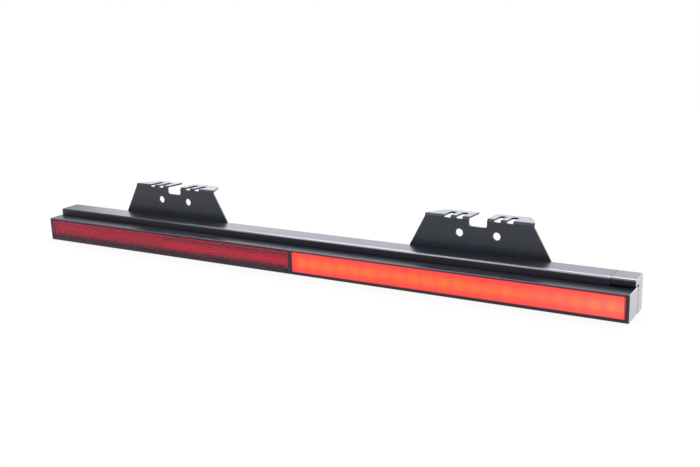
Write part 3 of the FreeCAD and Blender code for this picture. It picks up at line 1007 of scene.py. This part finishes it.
@dataclass
class LampBox:
    """The moulded box with what it holds behind the lens and the reflector.

    Attributes:
        seal: the finish of the bead round the lens.
        opal: the diffuser's.
        white: the light tray's.
        board: the circuit board's.
        diode: the diodes'.
        black_chip: the finish of what sits on the board's back.
        tin: the terminals'.
        zinc: the board screws'.
        rubber: the inlet bush's.
        backing: the finish of the plate that seals the prisms.
        foam: that of the tape that holds the reflector.
    """

    seal: GrainedFinish = GrainedFinish(
        "sealant",
        (0.03, 0.03, 0.03),
        roughness=0.6,
        ior=1.45,
        grain=0.8 * MILLIMETRE,
        grain_depth=0.02 * MILLIMETRE,
    )
    opal: GrainedFinish = GrainedFinish("opal_sheet", (0.86, 0.84, 0.82), roughness=0.5)
    white: GrainedFinish = GrainedFinish("white_tray", (0.80, 0.80, 0.79), roughness=0.45)
    board: GrainedFinish = GrainedFinish("board_lacquer", (0.74, 0.74, 0.69), roughness=0.3)
    diode: GrainedFinish = GrainedFinish("diode", (0.85, 0.45, 0.30), roughness=0.3)
    black_chip: GrainedFinish = GrainedFinish("chip_moulding", (0.02, 0.02, 0.02), roughness=0.5)
    tin: GrainedFinish = GrainedFinish("tinned_pin", (0.75, 0.70, 0.55), roughness=0.3, metallic=1.0)
    zinc: GrainedFinish = GrainedFinish("zinc_screw", (0.62, 0.62, 0.64), roughness=0.32, metallic=1.0)
    rubber: GrainedFinish = GrainedFinish("black_rubber", (0.015, 0.015, 0.015), roughness=0.62, ior=1.45)
    backing: GrainedFinish = GrainedFinish("backing_plate", (0.10, 0.002, 0.008), roughness=0.4)
    foam: GrainedFinish = GrainedFinish(
        "foam_tape",
        (0.02, 0.02, 0.021),
        roughness=0.8,
        ior=1.4,
        grain=0.6 * MILLIMETRE,
        grain_depth=0.06 * MILLIMETRE,
    )

    def dress(self) -> None:
        """Gives the housing and every inner node its finish."""
        low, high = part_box("lamp_housing")
        housing = MouldedPlastic("housing_moulding", high.x, low.y, high.z)
        Piece.dressed("lamp_housing", housing.material())
        finishes = {
            "lens_seal": self.seal,
            "diffuser_sheet": self.opal,
            "light_tray": self.white,
            "circuit_board": self.board,
            "leds": self.diode,
            "wire_terminals": self.tin,
            "board_screws": self.zinc,
            "inlet_bush": self.rubber,
            "reflector_backing": self.backing,
            "reflector_tape": self.foam,
        }
        for node, finish in finishes.items():
            Piece.dressed(node, finish.material())
        chip = self.black_chip.material()
        for node in ("resistors", "regulators", "protection_diode"):
            Piece.dressed(node, chip)


@dataclass
class LitHalf:
    """The lens over the diodes.

    Attributes:
        diode_count: how many diodes shine through it.
        diode_length: length of one of them along the bar.
    """

    diode_count: int = 21
    diode_length: float = 3.5 * MILLIMETRE

    def dress(self) -> None:
        """Gives the lens its light."""
        low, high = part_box("lamp_lens")
        first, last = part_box("leds")
        first_diode = first.x + self.diode_length / 2
        last_diode = last.x - self.diode_length / 2
        finish = LitLens(
            first_diode=first_diode,
            pitch=(last_diode - first_diode) / (self.diode_count - 1),
            middle=(low.z + high.z) / 2,
            half_height=(high.z - low.z) / 2,
            left=low.x,
            right=high.x,
        )
        Piece.dressed("lamp_lens", finish.material())


class Turn(Enum):
    """Which way round the prisms of a zone stand."""

    PLAIN = 0
    HALF = 1


@dataclass
class ReflectorHalf:
    """The reflector: a clear cover over a plate of hollow cube corners, in two zones turned differently.

    Attributes:
        column: how far apart the upright columns of prisms are.
        face: thickness of the cover's front.
        gap: room between the cover and the plate.
        wall: the cover's walls round the plate.
        plate: the plate's thickness behind the deepest prism.
        side: plain border at the field's ends.
        bottom: plain border below the field.
        top: plain border above the field.
        split: where the two zones meet.
        shaded_at: how far round a prism the middle of its darker face is, in degrees.
        shaded_reach: how far to each side of it that face reaches.
        prism_merge: how close corners of two prisms lie that become one.
        trim_merge: the same for corners where the sheet is cut off.
        ring_merge: the same for the corners of the plain ring.
        cover: the cover's four edges.
        cover_front: the place of its outer face.
        front: the place of the prisms' outermost corners.
        back: the place of the plate's back.
    """

    column: float = 2.8 * MILLIMETRE
    face: float = 2.6 * MILLIMETRE
    gap: float = 0.1 * MILLIMETRE
    wall: float = 1.7 * MILLIMETRE
    plate: float = 0.6 * MILLIMETRE
    side: float = 3.4 * MILLIMETRE
    bottom: float = 2.3 * MILLIMETRE
    top: float = 1.3 * MILLIMETRE
    split: float = -188 * MILLIMETRE
    shaded_at: float = 120.0
    shaded_reach: float = 45.0
    prism_merge: float = 0.02 * MILLIMETRE
    trim_merge: float = 0.01 * MILLIMETRE
    ring_merge: float = 0.001 * MILLIMETRE
    cover: Sides = field(init=False)
    cover_front: float = field(init=False)
    front: float = field(init=False)
    back: float = field(init=False)

    def __post_init__(self) -> None:
        """Takes the cover's places from its CAD node, and works out the plate's from them."""
        low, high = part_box("reflex_reflector")
        self.cover = Sides(low.x, high.x, low.z, high.z)
        self.cover_front = low.y
        self.front = self.cover_front + self.face + self.gap
        self.back = self.front + 2 * self.step + self.plate

    @property
    def radius(self) -> float:
        """How far a prism's corners lie from its middle."""
        return self.column / 1.5

    @property
    def cell(self) -> float:
        """How wide a prism is across its flats."""
        return self.radius * math.sqrt(3.0)

    @property
    def step(self) -> float:
        """How much deeper every other corner of a prism lies than the ones beside it."""
        return self.radius / math.sqrt(2.0)

    def build(self) -> None:
        """Makes the two prism zones with their border, and dresses the cover."""
        outer = self.cover.within(self.wall, self.wall, self.wall)
        inner = outer.within(self.side, self.bottom, self.top)
        left_zone = Sides(inner.left, self.split, inner.bottom, inner.top)
        right_zone = Sides(self.split, inner.right, inner.bottom, inner.top)
        prisms = PrismPlastic(self.split, *inner).material()
        Piece.made(self._zone(left_zone, Turn.HALF), "prisms_left", prisms, "reflector")
        Piece.made(self._zone(right_zone, Turn.PLAIN), "prisms_right", prisms, "reflector")
        Piece.made(self._border(outer, inner), "prism_border", prisms, "reflector")
        cover = ReflectorCover(*self.cover, self.cover_front, self.face)
        Piece.dressed("reflex_reflector", cover.material())

    def _zone(self, sides: Sides, turn: Turn) -> bmesh.types.BMesh:
        """Makes one closed slab whose front is covered with prisms.

        Args:
            sides: its edges.
            turn: which way round its prisms stand.

        Returns:
            The slab.
        """
        mesh = bmesh.new()
        mesh.faces.layers.float.new(SHADED)
        for column in range(math.ceil((sides.right - sides.left) / self.column) + 1):
            for row in range(math.ceil((sides.top - sides.bottom) / self.cell) + 2):
                height = sides.bottom + (row - 0.5 * (column % 2)) * self.cell
                self._prism(mesh, Vector((sides.left + column * self.column, self.front, height)), turn)
        bmesh.ops.remove_doubles(mesh, verts=mesh.verts[:], dist=self.prism_merge)
        self._trim(mesh, sides)
        self._close(mesh)
        return mesh

    def _prism(self, mesh: bmesh.types.BMesh, centre: Vector, turn: Turn) -> None:
        """Adds one hollow cube corner, which is a hexagon from the front.

        Args:
            mesh: the sheet of prisms.
            centre: the prism's middle, level with its outermost corners.
            turn: which way round it stands.
        """
        upright = Matrix.Rotation(math.radians(90), 4, "X")
        flat_top = Matrix.Rotation(math.radians(SECTOR / 2), 4, "Z")
        made = bmesh.ops.create_circle(
            mesh,
            cap_ends=True,
            cap_tris=True,
            segments=HEXAGON,
            radius=self.radius,
            matrix=Matrix.Translation(centre) @ (upright @ flat_top),
        )
        shaded = mesh.faces.layers.float[SHADED]
        for vertex in made["verts"]:
            for face in vertex.link_faces:
                face[shaded] = self._shading(face.calc_center_median() - centre, turn)
        for vertex in made["verts"]:
            vertex.co.y += self._depth(vertex.co - centre, turn)

    @staticmethod
    def _angle(out: Vector, start: float, turn: Turn) -> float:
        """How far round from the start a place in a prism lies, in degrees, from 0 to 360."""
        return (math.degrees(math.atan2(out.z, out.x)) - start - SECTOR * turn.value) % 360

    def _shading(self, out: Vector, turn: Turn) -> float:
        """1 for the one face of a prism that gets painted shade."""
        aside = self._angle(out, self.shaded_at, turn)
        return 1.0 if min(aside, 360 - aside) < self.shaded_reach else 0.0

    def _depth(self, out: Vector, turn: Turn) -> float:
        """How far back a prism's middle or corner lies.

        Args:
            out: its place from the prism's middle.
            turn: which way round the prism stands.

        Returns:
            Two steps for the middle and one for every other corner.
        """
        if out.length < self.radius / 2:
            return 2 * self.step
        return self.step if round(self._angle(out, SECTOR, turn)) % (2 * SECTOR) == 0 else 0.0

    def _trim(self, mesh: bmesh.types.BMesh, sides: Sides) -> None:
        """Cuts a sheet of prisms off square.

        Args:
            mesh: the sheet.
            sides: its edges.
        """
        cuts = (
            ((sides.left, 0.0, 0.0), (-1.0, 0.0, 0.0)),
            ((sides.right, 0.0, 0.0), (1.0, 0.0, 0.0)),
            ((0.0, 0.0, sides.bottom), (0.0, 0.0, -1.0)),
            ((0.0, 0.0, sides.top), (0.0, 0.0, 1.0)),
        )
        for point, out in cuts:
            everything = mesh.verts[:] + mesh.edges[:] + mesh.faces[:]
            bmesh.ops.bisect_plane(mesh, geom=everything, plane_co=point, plane_no=out, clear_outer=True)
        bmesh.ops.remove_doubles(mesh, verts=mesh.verts[:], dist=self.trim_merge)

    def _close(self, mesh: bmesh.types.BMesh) -> None:
        """Gives a sheet of prisms its side walls and its flat back.

        Args:
            mesh: the sheet.
        """
        corners, rim = self._grown(mesh, [edge for edge in mesh.edges if edge.is_boundary])
        for corner in corners:
            corner.co.y = self.back
        bmesh.ops.contextual_create(mesh, geom=rim)
        bmesh.ops.recalc_face_normals(mesh, faces=mesh.faces[:])

    @staticmethod
    def _grown(
        mesh: bmesh.types.BMesh, edges: list[bmesh.types.BMEdge]
    ) -> tuple[list[bmesh.types.BMVert], list[bmesh.types.BMEdge]]:
        """Extrudes a rim.

        Args:
            mesh: the mesh that has it.
            edges: the rim's edges.

        Returns:
            The new corners and the new rim.
        """
        parts = bmesh.ops.extrude_edge_only(mesh, edges=edges)["geom"]
        corners = [part for part in parts if isinstance(part, bmesh.types.BMVert)]
        rim = [part for part in parts if isinstance(part, bmesh.types.BMEdge) and part.is_boundary]
        return corners, rim

    def _border(self, outer: Sides, inner: Sides) -> bmesh.types.BMesh:
        """Makes the plain ring round the prisms.

        Args:
            outer: its edges.
            inner: the edges of its opening.

        Returns:
            The ring.
        """
        mesh = bmesh.new()
        left, right, bottom, top = outer
        middle_x, middle_z = (left + right) / 2, (bottom + top) / 2
        places = ((left, bottom), (right, bottom), (right, top), (left, top))
        ring = [mesh.verts.new((x, self.front, z)) for x, z in places]
        rim = [mesh.edges.new((ring[index - 1], ring[index])) for index in range(len(ring))]
        stages = ((inner, self.front), (inner, self.back), (outer, self.back), (outer, self.front))
        for sides, level in stages:
            corners, rim = self._grown(mesh, rim)
            for corner in corners:
                corner.co.x = sides.left if corner.co.x < middle_x else sides.right
                corner.co.z = sides.bottom if corner.co.z < middle_z else sides.top
                corner.co.y = level
        bmesh.ops.remove_doubles(mesh, verts=mesh.verts[:], dist=self.ring_merge)
        bmesh.ops.recalc_face_normals(mesh, faces=mesh.faces[:])
        return mesh


@dataclass
class CarrierRail:
    """The stepped rail with its end mouldings, screws and outlet.

    Attributes:
        foam: the finish of the tape between the lamp and the rail.
        zinc: the lamp screws'.
        rubber: the grommet's.
    """

    foam: GrainedFinish = replace(LampBox.foam, name="foam_strip")
    zinc: GrainedFinish = replace(LampBox.zinc, name="zinc_lamp_screw")
    rubber: GrainedFinish = replace(LampBox.rubber, name="grommet_rubber")

    def dress(self) -> None:
        """Gives the rail and what sits on it their finishes."""
        low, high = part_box("end_cap_right")
        Piece.dressed("carrier_profile", DrawnAluminium(low.y, high.z).material())
        cap = MouldedPlastic(
            "cap_moulding",
            high.x,
            low.y,
            high.z,
            colour=(0.014, 0.0145, 0.018),
            roughness=0.33,
            edge=1.9 * MILLIMETRE,
            edge_depth=4.8 * MILLIMETRE,
            edge_share=0.9,
        )
        moulding = cap.material()
        for node in ("end_cap_right", "end_plate_left"):
            Piece.dressed(node, moulding)
        Piece.dressed("carrier_tape", self.foam.material())
        Piece.dressed("lamp_screws", self.zinc.material())
        Piece.dressed("cable_grommet", self.rubber.material())


@dataclass
class Brackets:
    """The two folded brackets and their rivets.

    Attributes:
        coat: the brackets' finish.
        rivet: the rivets'.
    """

    coat: PowderCoat = PowderCoat()
    rivet: GrainedFinish = GrainedFinish("plated_rivet", (0.52, 0.52, 0.54), roughness=0.34, metallic=1.0)

    def dress(self) -> None:
        """Gives the brackets and rivets their finishes."""
        coat = self.coat.material()
        plated = self.rivet.material()
        for side in ("left", "right"):
            Piece.dressed("bracket_" + side, coat)
            Piece.dressed("bracket_rivets_" + side, plated)


@dataclass(frozen=True)
class SoftPanel:
    """A soft light in the studio.

    Attributes:
        name: the light's name.
        place: where it hangs.
        target: what it faces.
        size: its width and height.
        power: its power in watts.
        colour: its tint.
    """

    name: str
    place: Triple
    target: Triple
    size: tuple[float, float]
    power: float
    colour: Colour = (0.97, 0.985, 1.03)

    def hang(self) -> None:
        """Hangs the light where the camera doesn't see it."""
        data = bpy.data.lights.new(self.name, "AREA")
        data.shape = "RECTANGLE"
        data.size, data.size_y = self.size
        data.energy = self.power
        data.color = self.colour
        panel = bpy.data.objects.new(self.name, data)
        panel.location = self.place
        facing = Vector(self.target) - Vector(self.place)
        panel.rotation_euler = facing.to_track_quat("-Z", "Y").to_euler()
        panel.visible_camera = False
        bpy.context.scene.collection.objects.link(panel)


@dataclass
class Studio:
    """The pale floor, the soft lights and the camera.

    Attributes:
        camera_place: where the camera stands.
        yaw: how far it is turned to the left, in degrees.
        pitch: how far it looks down.
        roll: how far it is tipped.
        focal: its focal length in millimetres.
        sensor: the sensor's width in millimetres.
        nearest: how near to it things are still seen.
        floor_size: width of the floor.
        floor_drop: how far the floor lies below the bar.
        floor_tone: how pale the floor is.
        floor_glow: how much of the floor near the bar is plain white, whatever falls on it.
        glow_from: square of the distance from the bar's middle where that starts to grow.
        glow_to: square of the distance where the floor is all plain white.
        fill: strength of the even light that falls on things.
        ceiling: strength of the ceiling where it shows in gloss.
        ceiling_from: how far up the backdrop starts to darken towards it, 1 being straight above.
        ceiling_to: how far up it is as dark as the ceiling.
        key: the light from the front.
        rear: the light behind the bar, which its top mirrors.
        strip: the long light above it.
        side: the light beyond its right end.
    """

    camera_place: Triple = (0.58201, -0.88523, 0.32237)
    yaw: float = 30.384
    pitch: float = 14.945
    roll: float = -1.814
    focal: float = 49.78
    sensor: float = 36.0
    nearest: float = 0.01
    floor_size: float = 14.0
    floor_drop: float = 0.2 * MILLIMETRE
    floor_tone: float = 0.9
    floor_glow: float = 0.90
    glow_from: float = 0.5
    glow_to: float = 2.5
    fill: float = 0.55
    ceiling: float = 0.30
    ceiling_from: float = 0.5
    ceiling_to: float = 0.8
    key: SoftPanel = SoftPanel(
        "key", place=(-0.9, -1.3, 1.9), target=(0.0, 0.0, 0.0), size=(1.6, 1.2), power=16.0
    )
    rear: SoftPanel = SoftPanel(
        "rear",
        place=(-0.34, 1.7, 0.75),
        target=(0.1, 0.0, 0.1),
        size=(2.9, 1.3),
        power=23.5,
        colour=(0.93, 0.95, 1.10),
    )
    strip: SoftPanel = SoftPanel(
        "strip", place=(-0.30, 0.98, 1.75), target=(0.0, 0.0, 0.03), size=(2.8, 0.55), power=24.0
    )
    side: SoftPanel = SoftPanel(
        "side",
        place=(1.05, 0.75, 0.35),
        target=(0.375, 0.0, 0.02),
        size=(0.9, 0.7),
        power=9.3,
        colour=(0.97, 0.975, 1.06),
    )

    def build(self) -> None:
        """Makes the camera, the floor, the world and the lights."""
        self._camera()
        self._floor()
        self._world()
        for panel in (self.key, self.rear, self.strip, self.side):
            panel.hang()
        bpy.context.scene.view_settings.view_transform = "Standard"

    def _camera(self) -> None:
        """Stands the camera where the photograph was taken from."""
        yaw, pitch, roll = (math.radians(angle) for angle in (self.yaw, self.pitch, self.roll))
        right = Vector((math.cos(yaw), math.sin(yaw), 0.0))
        ahead = Vector(
            (-math.sin(yaw) * math.cos(pitch), math.cos(yaw) * math.cos(pitch), -math.sin(pitch))
        )
        up = right.cross(ahead)
        side = math.cos(roll) * right + math.sin(roll) * up
        top = -math.sin(roll) * right + math.cos(roll) * up
        turn = Matrix((side, top, -ahead)).transposed().to_4x4()
        data = bpy.data.cameras.new("camera")
        data.lens = self.focal
        data.sensor_width = self.sensor
        data.sensor_fit = "HORIZONTAL"
        data.clip_start = self.nearest
        camera = bpy.data.objects.new("camera", data)
        camera.matrix_world = Matrix.Translation(self.camera_place) @ turn
        bpy.context.scene.collection.objects.link(camera)
        bpy.context.scene.camera = camera

    def _floor(self) -> None:
        """Lays the pale floor, which keeps a faint shadow near the bar."""
        mesh = bmesh.new()
        below = Matrix.Translation((0.0, 0.0, -self.floor_drop))
        bmesh.ops.create_grid(mesh, x_segments=1, y_segments=1, size=self.floor_size / 2, matrix=below)
        data = bpy.data.meshes.new("floor")
        mesh.to_mesh(data)
        mesh.free()
        floor = bpy.data.objects.new("floor", data)
        bpy.context.scene.collection.objects.link(floor)
        data.materials.append(self._floor_material())

    def _floor_material(self) -> bpy.types.Material:
        """Mixes the floor's matt paint with the plain white that is seen.

        Returns:
            The finished material.
        """
        graph = Graph.of_material("pale_floor")
        across, back = graph.along(Axis.ALONG), graph.along(Axis.BACK)
        far = (across * across + back * back).ramp(self.glow_from, self.glow_to)
        glow = self.floor_glow + far * (1.0 - self.floor_glow)
        matt = graph.node("ShaderNodeBsdfDiffuse", None, {"Color": (self.floor_tone,) * 3})
        white = graph.node("ShaderNodeEmission", None, {"Color": WHITE, "Strength": 1.0})
        mixed = graph.node(
            "ShaderNodeMixShader", None, {0: graph.seen() * glow, 1: matt.outputs[0], 2: white.outputs[0]}
        )
        graph.node("ShaderNodeOutputMaterial", None, {"Surface": mixed.outputs[0]})
        return graph.owner

    def _world(self) -> None:
        """Surrounds the bar with even light, a white backdrop and a darker ceiling."""
        world = bpy.data.worlds.new("world")
        bpy.context.scene.world = world
        graph = Graph(world)
        split = graph.node("ShaderNodeSeparateXYZ", None, {0: graph.coordinates["Generated"]})
        height = Term(graph, split.outputs[Axis.UP.value])
        backdrop = 1.0 - height.ramp(self.ceiling_from, self.ceiling_to) * (1.0 - self.ceiling)
        strength = self.fill + graph.seen() * (backdrop - self.fill)
        even = graph.node("ShaderNodeBackground", None, {"Color": WHITE, "Strength": strength})
        graph.node("ShaderNodeOutputWorld", None, {"Surface": even.outputs[0]})


def main() -> None:
    """Builds the studio and dresses every piece of the bar."""
    Studio().build()
    LampBox().dress()
    LitHalf().dress()
    ReflectorHalf().build()
    CarrierRail().dress()
    Brackets().dress()


if __name__ == "__main__":
    logging.basicConfig(level=logging.INFO)
    main()
